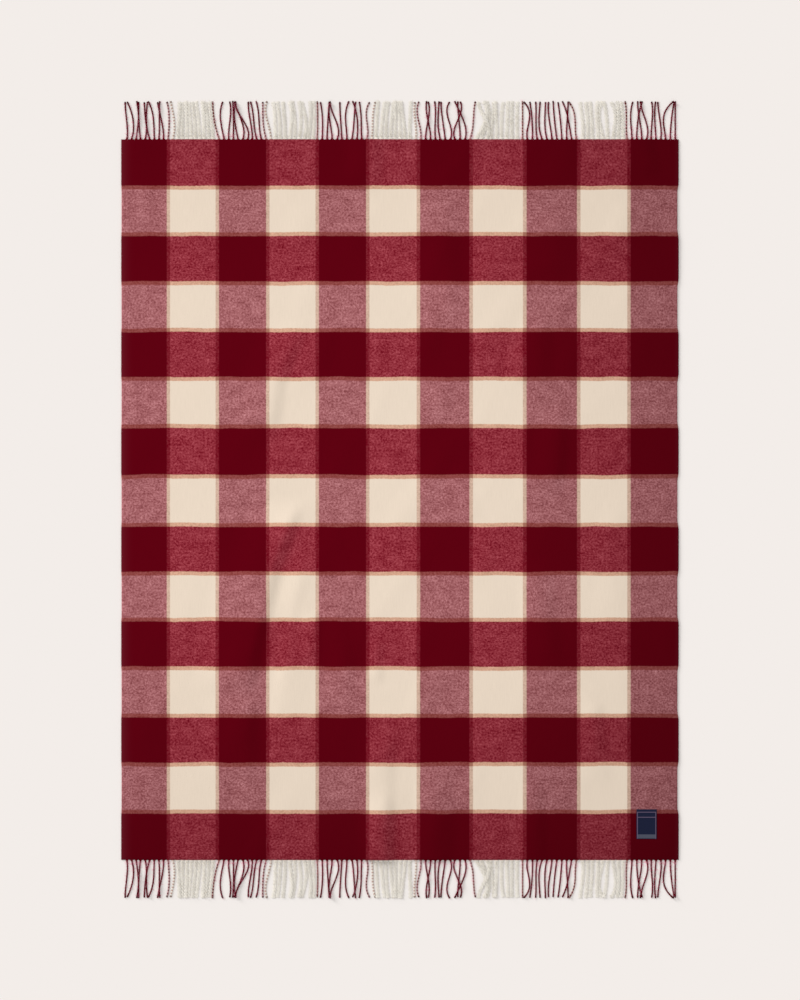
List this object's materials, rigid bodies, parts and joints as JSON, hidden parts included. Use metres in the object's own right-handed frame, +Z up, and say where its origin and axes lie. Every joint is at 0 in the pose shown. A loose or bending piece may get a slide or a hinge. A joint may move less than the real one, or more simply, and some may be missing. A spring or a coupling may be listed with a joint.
{
  "type": "wool throw blanket",
  "caption": "Flat-lying brushed wool throw in a red and cream check, with soft folds, a loose fringe along both ends and a small sewn-on blank label.",
  "frame": {"origin": "centre of the throw on the surface it lies on", "axes": "+Y along the warp, towards the end away from the label; +X across the cloth, towards the selvage beside the label; +Z up, out of the cloth"},
  "size_m": [1.3, 1.86, 0.0087],
  "materials": {
    "wool_cloth": "brushed wool, woven in a red and cream check with tan bands",
    "fringe_yarn": "twisted wool yarn, red and cream strands",
    "woven_label": "smooth woven label, navy, blank"
  },
  "bodies": {
    "root": {"cloth": "wool_cloth", "fringe_top": "fringe_yarn", "fringe_bottom": "fringe_yarn", "label": "woven_label"}
  },
  "joints": []
}
